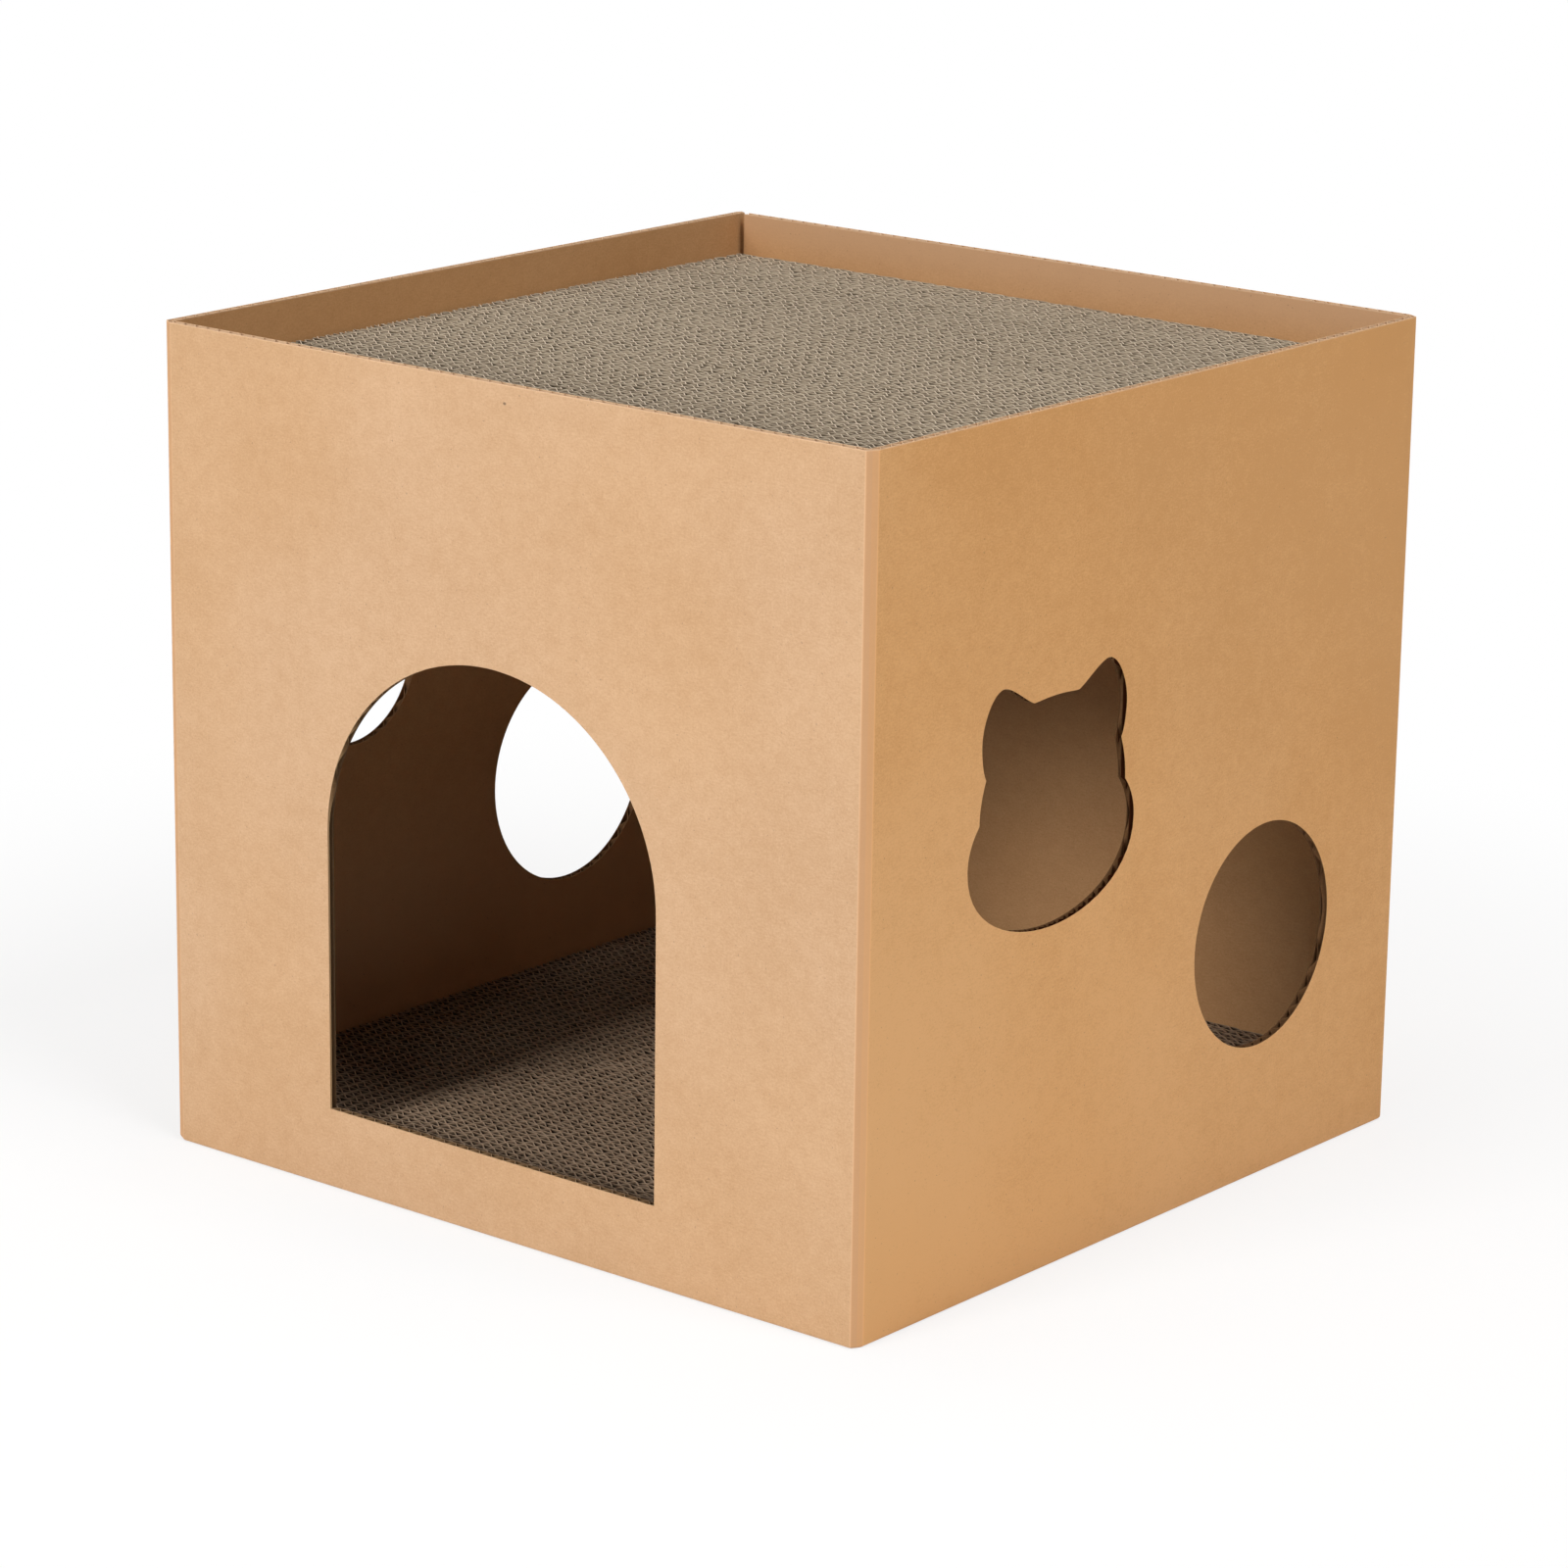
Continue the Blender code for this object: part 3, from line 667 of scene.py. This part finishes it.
def rightWayOut(mesh):
    shape = bmesh.new()
    shape.from_mesh(mesh)
    bmesh.ops.recalc_face_normals(shape, faces=shape.faces)
    shape.to_mesh(mesh)
    shape.free()


def circleOutline(middle, height, radius, steps=96):
    turn = np.linspace(0, 2 * math.pi, steps, endpoint=False)
    return np.stack([middle + radius * np.cos(turn), height + radius * np.sin(turn)], -1)


door = {
    "middle": 204 * mm, "width": 200 * mm, "sill": 39 * mm, "straight": 135 * mm, "rise": 95.5 * mm,
    "steps": 64,
}


def doorOutline():
    # two straight sides under half an ellipse: (half width * cos, rise * sin) above the straight part
    turn = np.linspace(0, math.pi, door["steps"] + 1)
    half, spring = door["width"] / 2, door["sill"] + door["straight"]
    arch = np.stack([door["middle"] + half * np.cos(turn), spring + door["rise"] * np.sin(turn)], -1)
    foot = [(door["middle"] - half, door["sill"]), (door["middle"] + half, door["sill"])]
    return np.concatenate([foot, arch])


catHead = {
    "middle": 134 * mm, "chin": 163 * mm, "steps": 14,
    # knots of one side from the chin: across, up, then the handles before and after, all in mm
    "knots": [
        (0.0, 0.0, (-27.1, 0.0), (27.1, 0.0)),
        (61.6, 38.5, (0.0, -27.0), (0.0, 8.0)),
        (53.9, 57.5, (4.0, -4.6), (0.0, 6.0)),
        (49.8, 77.6, (3.2, -7.8), (2.5, 3.5)),
        (53.3, 94.0, (0.0, -5.1), (0.0, 8.9)),
        (38.5, 116.5, (8.0, 0.0), (-5.8, 0.0)),
        (16.5, 106.0, (5.0, 1.6), (-4.0, 0.0)),
        (0.0, 106.8, (8.25, 0.0), (-8.25, 0.0)),
    ],
}


def headOutline():
    # cubic curves between knots: (1-t)^3 a + 3(1-t)^2 t b + 3(1-t) t^2 c + t^3 d, and their mirror image
    share = np.linspace(0, 1, catHead["steps"], endpoint=False)[:, None]
    side = []
    for (x0, y0, _, after), (x1, y1, before, _) in zip(catHead["knots"], catHead["knots"][1:]):
        a, d = np.array([x0, y0]), np.array([x1, y1])
        b, c = a + after, d + before
        side.append((1 - share) ** 3 * a + 3 * (1 - share) ** 2 * share * b
                    + 3 * (1 - share) * share ** 2 * c + share ** 3 * d)
    side = np.concatenate(side + [np.array([catHead["knots"][-1][:2]])])
    other = side[-2:0:-1] * (-1, 1)
    return np.concatenate([side, other]) * mm + (catHead["middle"], catHead["chin"])


# each round hole by its distance along its wall: the right wall from the front, the left wall from the back
roundWindow = {"middle": 302.5 * mm, "height": 120.5 * mm, "radius": 54.7 * mm}
backWindow = {"middle": 138 * mm, "height": 128 * mm, "radius": 58 * mm}
porthole = {"middle": 296.5 * mm, "height": 216 * mm, "radius": 43 * mm}


# The sleeve

bulge = {
    "front": 1.3 * mm, "right": 1.2 * mm, "back": 0.5 * mm, "left": 0.6 * mm,
    "waviness": 0.12 * mm, "waves": ((2.0, 1.5, 0.4), (3.5, 2.5, 1.9), (5.0, 1.0, 3.1)), "footRamp": 4.0,
}


def bowOut(pieces, plan, rise):
    # pushes a wall out by rise * (1 - q^2) * (height share)^2, with q from -1 to 1 between its folds,
    # and waves it a little
    alongU, intoV, upW = axesOf(plan)
    reach = fold["reach"]
    for piece in pieces:
        mesh = piece.data
        points = np.empty(len(mesh.vertices) * 3)
        mesh.vertices.foreach_get("co", points)
        points = points.reshape(-1, 3)
        local = points - np.array(plan["origin"])
        share = np.clip((local @ alongU - reach) / (plan["legs"][0] - 2 * reach), 0, 1)
        up = np.clip(local @ upW / plan["height"], 0, 1)
        window = 1 - (2 * share - 1) ** 2
        waves = sum(np.sin(a * math.pi * share + c) * np.sin(b * math.pi * up) for a, b, c in bulge["waves"])
        out = window * (rise * up ** 2 + bulge["waviness"] * waves * np.minimum(1, bulge["footRamp"] * up))
        mesh.vertices.foreach_set("co", (points - out[:, None] * intoV).ravel())
        mesh.update()


def layers(outer, flutes, inner):
    # the papers of a board's three sheets
    return {"outer_liner": outer, "flutes": flutes, "inner_liner": inner}


def wallPlan(name, origin, along, into, length, start, wallLayers, **more):
    plan = {
        "name": name, "nodes": [name], "body": "sleeve", "origin": (*origin, houseLow[2]),
        "axes": ((*along, 0), (*into, 0), (0, 0, 1)), "legs": [length], "height": wallHeight,
        "mapStart": start, "creaseRadius": wallRows["creaseRadius"], "papers": wallLayers,
        "slots": ("kraft_outside", "kraft_inside"),
    }
    plan.update(more)
    return plan


tabTaper = 9 * mm  # how much lower the glue tab is at each end of its free edge


def buildSleeve():
    backLength = houseHigh[0] - backLow[0]
    folded = {"foldedStart": True, "foldedEnd": True}
    tab = wallPlan("glue_tab", (tabHigh[0], houseHigh[1]), (-1, 0), (0, -1), tabLength, 0.0,
                   layers("sideFace", "flute", "insideShadedFace"), foldedEnd=True, creaseRadius=0.0, taper=tabTaper)
    tab["height"] = tabHigh[2] - tabLow[2]
    tab["origin"] = (tabHigh[0], houseHigh[1], tabLow[2])
    left = wallPlan("left_wall", (houseLow[0], houseHigh[1]), (0, -1), (1, 0), houseDepth, tabLength,
                    layers("sideFace", "windowFlute", "leftInsidePaintedLight"), **folded)
    front = wallPlan("front_wall", tuple(houseLow[:2]), (1, 0), (0, 1), houseWidth, frontStart,
                     layers("frontSheenFace", "doorFlute", "insideShadedFace"), **folded)
    right = wallPlan("right_wall", (houseHigh[0], houseLow[1]), (0, 1), (-1, 0), rightLength, sideStart,
                     layers("sideFace", "windowFlute", "insideShadedFace"), **folded)
    back = wallPlan("back_wall", (houseHigh[0], backHigh[1]), (-1, 0), (0, -1), backLength,
                    sideStart + rightLength, layers("sideFace", "flute", "backInsidePaintedLight"), foldedStart=True)
    # the cuts get painted shade, and at the door a painted highlight too
    doorEdge = cutPaper("kraft_cut_door_painted_light_and_shade", *paperTones["doorCut"], shade=doorPaintedLightAndShade, specular=0.1,
                        foot=houseLow[2] + door["sill"])
    windowEdge = cutPaper("kraft_cut_windows_painted_shade", *paperTones["windowFlute"], shade=headPaintedShade, specular=0.04)
    cuts = {
        "left": ([circleOutline(**backWindow), circleOutline(**porthole)], windowEdge),
        "front": ([doorOutline()], doorEdge),
        "right": ([headOutline(), circleOutline(**roundWindow)], windowEdge),
    }
    for side, plan in (("left", left), ("front", front), ("right", right), ("back", back)):
        pieces = corrugatedBoard(plan)
        if side in cuts:
            dieCut(pieces, plan, *cuts[side])
        bowOut(pieces, plan, bulge[side])
        print("stage:", plan["name"])
    corrugatedBoard(tab)
    print("stage: glue tab")


# Flaps, shelf and posts

plainBoard = {"papers": layers("plainFace", "flute", "insideShadedFace"), "slots": ("kraft_inside", "kraft_inside")}
sheetStart = {"flap": 0.3, "shelf": 0.9, "post": 0.1}  # where in the paper's patterns each sheet begins
flapCrease = 1.2 * mm


def buildFlaps():
    # each flap runs from its crease towards the middle, with its flutes square to the crease
    for node, body, along, onward in (
            ("outer_flap_left", "outer_flap_left", (0, 1, 0), (1, 0, 0)),
            ("outer_flap_right", "outer_flap_right", (0, 1, 0), (-1, 0, 0)),
            ("inner_flap_front", "sleeve", (1, 0, 0), (0, 1, 0)),
            ("inner_flap_back", "sleeve", (1, 0, 0), (0, -1, 0))):
        low, high = boxOf(node)
        origin = np.where(np.array(onward) < 0, high, low)
        origin[2] = low[2]
        size = high - low
        corrugatedBoard({
            "name": node, "nodes": [node], "body": body, "origin": tuple(origin),
            "axes": (along, (0, 0, 1), onward), "legs": [float(size @ np.abs(along))],
            "height": float(size @ np.abs(onward)), "mapStart": sheetStart["flap"], "creaseRadius": flapCrease,
            **plainBoard,
        })
    print("stage: flaps")


def buildShelf():
    corrugatedBoard({
        "name": "shelf_board", "nodes": ["shelf_board"], "body": "shelf",
        "origin": (shelfLow[0], shelfLow[1], shelfHigh[2]), "axes": ((1, 0, 0), (0, 0, -1), (0, 1, 0)),
        "legs": [shelfHigh[0] - shelfLow[0]], "height": shelfHigh[1] - shelfLow[1],
        "mapStart": sheetStart["shelf"], **plainBoard, "papers": layers("insideShadedFace", "flute", "insideShadedFace"),
    })
    print("stage: shelf")


def buildPosts():
    # two legs with a fold between them, which stand in a corner of the house
    for number, (node, cornerX, cornerY, along) in enumerate((
            ("post_front_left", 0, 1, (0, -1)), ("post_front_right", 0, 0, (1, 0)),
            ("post_back_right", 1, 0, (0, 1)), ("post_back_left", 1, 1, (-1, 0)))):
        low, high = boxOf(node)
        origin = ((low, high)[cornerX][0], (low, high)[cornerY][1], low[2])
        into = (-along[1], along[0])
        leg = high[0] - low[0]
        corrugatedBoard({
            "name": node, "nodes": [node], "body": "posts", "origin": origin,
            "axes": ((*along, 0), (*into, 0), (0, 0, 1)), "legs": [leg, leg], "height": high[2] - low[2],
            "mapStart": sheetStart["post"] * number, **plainBoard,
        })
    print("stage: posts")


# Scratch pads

padBuild = {
    "strip": 4.7 * mm, "liner": 0.34 * mm, "flute": 0.44 * mm, "stepsPerFlute": 8, "linerSteps": 110,
    "phaseWander": 0.06, "phaseJump": 0.04, "jumpSize": 0.5,
    "drift": 0.9, "driftTurns": 1.7, "driftScatter": 0.15,
    "sink": 0.30 * mm, "sinkGrain": 3.1 * mm, "swingScatter": 0.20, "leastSwing": 0.5, "pieces": 2,
    "waver": 0.45 * mm,
    # the sway's sine waves: size, turns over the pad's length and depth, and shift
    "sways": ((1.0, 1.3, 0.6, 0.5), (0.6, 2.9, -0.9, 2.1), (0.4, 5.3, 1.7, 0.0)),
    # how far every other strip's waves are shifted, and how much quicker the waves rise than they fall
    "turned": {"top_scratch_pad": 1.4, "floor_scratch_pad": 0.2},
    "skew": {"top_scratch_pad": 0.45, "floor_scratch_pad": 0.55},
    "linerTone": -1.5,
}


def padWaver(x, y, low, high):
    # slow sideways sway of the glued strips: the sum of size * sin(2 pi (a u + b v) + shift), faded out at the
    # pad's front and back faces
    u, v = (x - low[0]) / (high[0] - low[0]), (y - low[1]) / (high[1] - low[1])
    sway = sum(size * np.sin(2 * math.pi * (a * u + b * v) + shift) for size, a, b, shift in padBuild["sways"])
    return padBuild["waver"] * sway * np.clip(4 * v * (1 - v), 0, 1) ** 0.5


def ribbons(xs, ys, bottom, tops):
    # many upright ribbons at once, each a closed bar: front and back lines of points at its bottom and its top
    count, steps = tops.shape
    corners = np.empty((count, steps, 4, 3))
    for number, (side, level) in enumerate(((0, bottom), (1, bottom), (1, tops), (0, tops))):
        corners[:, :, number, 0] = xs[side]
        corners[:, :, number, 1] = ys[side]
        corners[:, :, number, 2] = level
    ring = np.arange(steps * 4).reshape(steps, 4)
    following = np.roll(ring, -1, axis=1)
    sides = np.stack([ring[:-1], following[:-1], following[1:], ring[1:]], -1).reshape(-1, 4)
    quads = np.concatenate([sides, ring[:1, ::-1], ring[-1:]])
    every = (quads[None] + (np.arange(count) * steps * 4)[:, None, None]).reshape(-1, 4)
    points = corners.reshape(-1, 3)
    return points, facingOut(points, every)


def ragged(chance, count, xs, grain, size):
    # for each of count lines a wandering depth of 0 or more: white noise at every grain of length, interpolated
    knots = np.arange(xs[0] - grain, xs[-1] + 2 * grain, grain)
    values = np.abs(chance.normal(0, size, (count, len(knots))))
    return np.stack([np.interp(xs, knots, line) for line in values])


def padLines(node, seed):
    # the glued liners and the flutes between them, seen from above: x, front and back y, how deep the top lies,
    # and a tone for each line
    low, high = boxOf(node)
    build, chance = padBuild, np.random.default_rng(seed)
    count = round((high[1] - low[1]) / build["strip"])
    middle = np.linspace(low[1], high[1], count + 1)
    half = np.full(count + 1, build["liner"] / 2)
    middle[[0, -1]] += np.array([1, -1]) * half[0] / 2
    half[[0, -1]] /= 2
    flat = np.linspace(low[0], high[0], build["linerSteps"] + 1)
    centre = middle[:, None] + padWaver(flat[None], middle[:, None], low, high)
    liners = {
        "x": np.broadcast_to(flat, (2, *centre.shape)),
        "y": np.stack([centre - half[:, None], centre + half[:, None]]),
        "sunk": ragged(chance, count + 1, flat, build["sinkGrain"], build["sink"]),
        "tone": build["linerTone"] + chance.uniform(-1, 1, count + 1),
    }
    steps = round((high[0] - low[0]) / flutePitch * build["stepsPerFlute"])
    x = np.linspace(low[0], high[0], steps + 1)
    near, far = (middle[k:count + k, None] + padWaver(x[None], middle[k:count + k, None], low, high)
                 + sign * half[k:count + k, None] for k, sign in ((0, 1), (1, -1)))
    wander = np.cumsum(chance.normal(0, build["phaseWander"], count)
                       + build["jumpSize"] * (chance.random(count) < build["phaseJump"]))
    drift = build["drift"] * np.sin(2 * math.pi * (
        build["driftTurns"] * (x[None] - low[0]) / (high[0] - low[0])
        + chance.random(count)[:, None] * build["driftScatter"]))
    turned = build["turned"][node] * (np.arange(count)[:, None] % 2)
    phase = 2 * math.pi * (x[None] / flutePitch + wander[:, None]) + drift + turned
    crush = 1 - ragged(chance, count, x, flutePitch, build["swingScatter"])
    swing = (far - near - build["flute"]) / 2 * np.clip(crush, build["leastSwing"], 1)
    line = (near + far) / 2 + swing * np.sin(phase + build["skew"][node] * np.sin(phase))
    slope = np.arctan(np.gradient(line, x, axis=1))
    aside, across = np.sin(slope) * build["flute"] / 2, np.cos(slope) * build["flute"] / 2
    flutes = {
        "x": np.clip(np.stack([x + aside, x - aside]), low[0], high[0]),
        "y": np.stack([line - across, line + across]),
        "sunk": ragged(chance, count, x, build["sinkGrain"], build["sink"]),
        "tone": chance.uniform(-1, 1, count),
    }
    return low, high, count, liners, flutes


def padPieces(node, body, material, seed):
    # one piece for each part of the pad; the liner between two parts goes with the first
    low, high, count, liners, flutes = padLines(node, seed)
    for part in range(padBuild["pieces"]):
        first, last = (round(count * k / padBuild["pieces"]) for k in (part, part + 1))
        points, quads, tones, sunk = np.empty((0, 3)), np.empty((0, 4), int), [], []
        for lines, pick in ((liners, slice(first + (part > 0), last + 1)), (flutes, slice(first, last))):
            tops = high[2] - lines["sunk"][pick]
            more, added = ribbons(lines["x"][:, pick], lines["y"][:, pick], low[2], tops)
            quads = np.concatenate([quads, added + len(points)])
            points = np.concatenate([points, more])
            tones.append(np.repeat(lines["tone"][pick], lines["sunk"].shape[1] * 4))
            sunk.append(np.repeat(lines["sunk"][pick].ravel(), 4))
        name = node + ("_front_strips", "_back_strips")[part]
        shades = {"stripTone": np.concatenate(tones), "sunk": np.concatenate(sunk)}
        piece = addPiece(name, points, quads, material, smoothAngle=60, tones=shades)
        enter(piece, body, "scratch_pad", node)


def buildPads():
    for node, body, seed in (("top_scratch_pad", "top_pad", 11), ("floor_scratch_pad", "floor_pad", 23)):
        padPieces(node, body, padPaper(node), seed)
        print("stage:", node)


# Stage, light and camera

cameraView = {
    "azimuth": 39.23, "elevation": 15.63, "roll": -0.81, "distance": 2.6106,
    "across": 0.00498, "down": -0.02554, "lens": 125.5, "sensor": 36.0, "clip": (0.05, 60.0),
}


def placeCamera():
    # the camera looks along its forward axis past the middle of the house, turned a little about that axis
    view = cameraView
    azimuth, elevation, roll = (math.radians(view[key]) for key in ("azimuth", "elevation", "roll"))
    forward = Vector((-math.sin(azimuth) * math.cos(elevation), math.cos(azimuth) * math.cos(elevation),
                      -math.sin(elevation)))
    level = Vector((math.cos(azimuth), math.sin(azimuth), 0.0))
    below = forward.cross(level)
    across = math.cos(roll) * level + math.sin(roll) * below
    down = math.cos(roll) * below - math.sin(roll) * level
    middle = Vector((houseLow + houseHigh) / 2)
    place = middle - view["across"] * across - view["down"] * down - view["distance"] * forward
    camera = bpy.data.objects.new("camera", bpy.data.cameras.new("camera"))
    bpy.context.scene.collection.objects.link(camera)
    camera.matrix_world = Matrix.Translation(place) @ Matrix((across, -down, -forward)).transposed().to_4x4()
    camera.data.lens = view["lens"]
    camera.data.sensor_width = view["sensor"]
    camera.data.clip_start, camera.data.clip_end = view["clip"]
    bpy.context.scene.camera = camera


lamps = {
    # name: place, aimed at, width, height, watts
    "key": ((-0.31, -2.98, 1.13), (0.0, 0.0, 0.2), 0.86, 0.66, 53.2),
    "fill": ((0.77, -3.10, 1.13), (0.0, 0.0, 0.2), 0.80, 0.66, 5.5),
    "top": ((-0.20, -0.25, 2.80), (0.0, 0.0, 0.3), 1.8, 1.8, 31.0),
    "side": ((2.56, -0.40, 3.56), (0.0, 0.0, 0.2), 1.9, 1.9, 92.0),
    "rear": ((-0.05, 2.95, 0.55), (0.0, 0.0, 0.2), 0.5, 0.5, 20.0),
}
backdrop = {
    "ambient": 0.09,  # how bright the world is to all but the rays that see it as white
    "floorTone": 0.90, "floorReach": 9.0, "floorGap": 0.2 * mm,
    "nearWhite": 0.74, "farWhite": 0.26, "fade": (0.40, 0.80),  # the floor turns plain white further out
}


def placeLamps():
    for name, (place, aim, wide, high, watts) in lamps.items():
        lamp = bpy.data.lights.new(name, "AREA")
        lamp.shape, lamp.size, lamp.size_y, lamp.energy = "RECTANGLE", wide, high, watts
        holder = bpy.data.objects.new(name, lamp)
        holder.location = place
        holder.rotation_euler = (Vector(aim) - Vector(place)).to_track_quat("-Z", "Y").to_euler()
        bpy.context.scene.collection.objects.link(holder)


def seenAsWhite(path):
    # 1 for rays that should show the white backdrop
    return path["camera"].orMore(path["glossy"]).orMore(path["glass"])


def rayKinds(paint):
    node = paint.add("ShaderNodeLightPath").socket.node
    return {name: Wire(paint, node.outputs[title]) for name, title in (
        ("camera", "Is Camera Ray"), ("glossy", "Is Glossy Ray"), ("glass", "Is Transmission Ray"))}


def placeBackdrop():
    bpy.context.scene.world = bpy.data.worlds.new("studio")
    paint = Paint(bpy.context.scene.world)
    white = seenAsWhite(rayKinds(paint))
    strength = white + (1 - white) * backdrop["ambient"]
    light = paint.add("ShaderNodeBackground", Color=rgb(1, 1, 1), Strength=strength)
    paint.add("ShaderNodeOutputWorld", Surface=light)

    floorPaint = Paint(bpy.data.materials.new("studio_floor"))
    shader = floorPaint.add("ShaderNodeBsdfDiffuse", Color=rgb(*[backdrop["floorTone"]] * 3))
    glow = floorPaint.add("ShaderNodeEmission", Color=rgb(1, 1, 1), Strength=1.0)
    across = floorPaint.add("ShaderNodeTexCoord", out=3)
    away = floorPaint.add("ShaderNodeVectorMath", {"operation": "LENGTH"}, out=1, i0=across)
    share = backdrop["nearWhite"] + backdrop["farWhite"] * floorPaint.between(away, *backdrop["fade"])
    seen = seenAsWhite(rayKinds(floorPaint))
    surface = floorPaint.add("ShaderNodeMixShader", i0=seen * share, i1=shader, i2=glow)
    floorPaint.add("ShaderNodeOutputMaterial", Surface=surface)
    points = backdrop["floorReach"] * np.array([(-1, -1, 0), (1, -1, 0), (1, 1, 0), (-1, 1, 0)], float)
    points[:, 2] = houseLow[2] - backdrop["floorGap"]
    floor = addPiece("studio_floor", points, np.array([[0, 1, 2, 3]]), floorPaint.owner)


placeCamera()
placeLamps()
placeBackdrop()
print("stage: camera and light")
buildSleeve()
buildFlaps()
buildShelf()
buildPosts()
buildPads()

bpy.context.scene.view_settings.view_transform = "Standard"
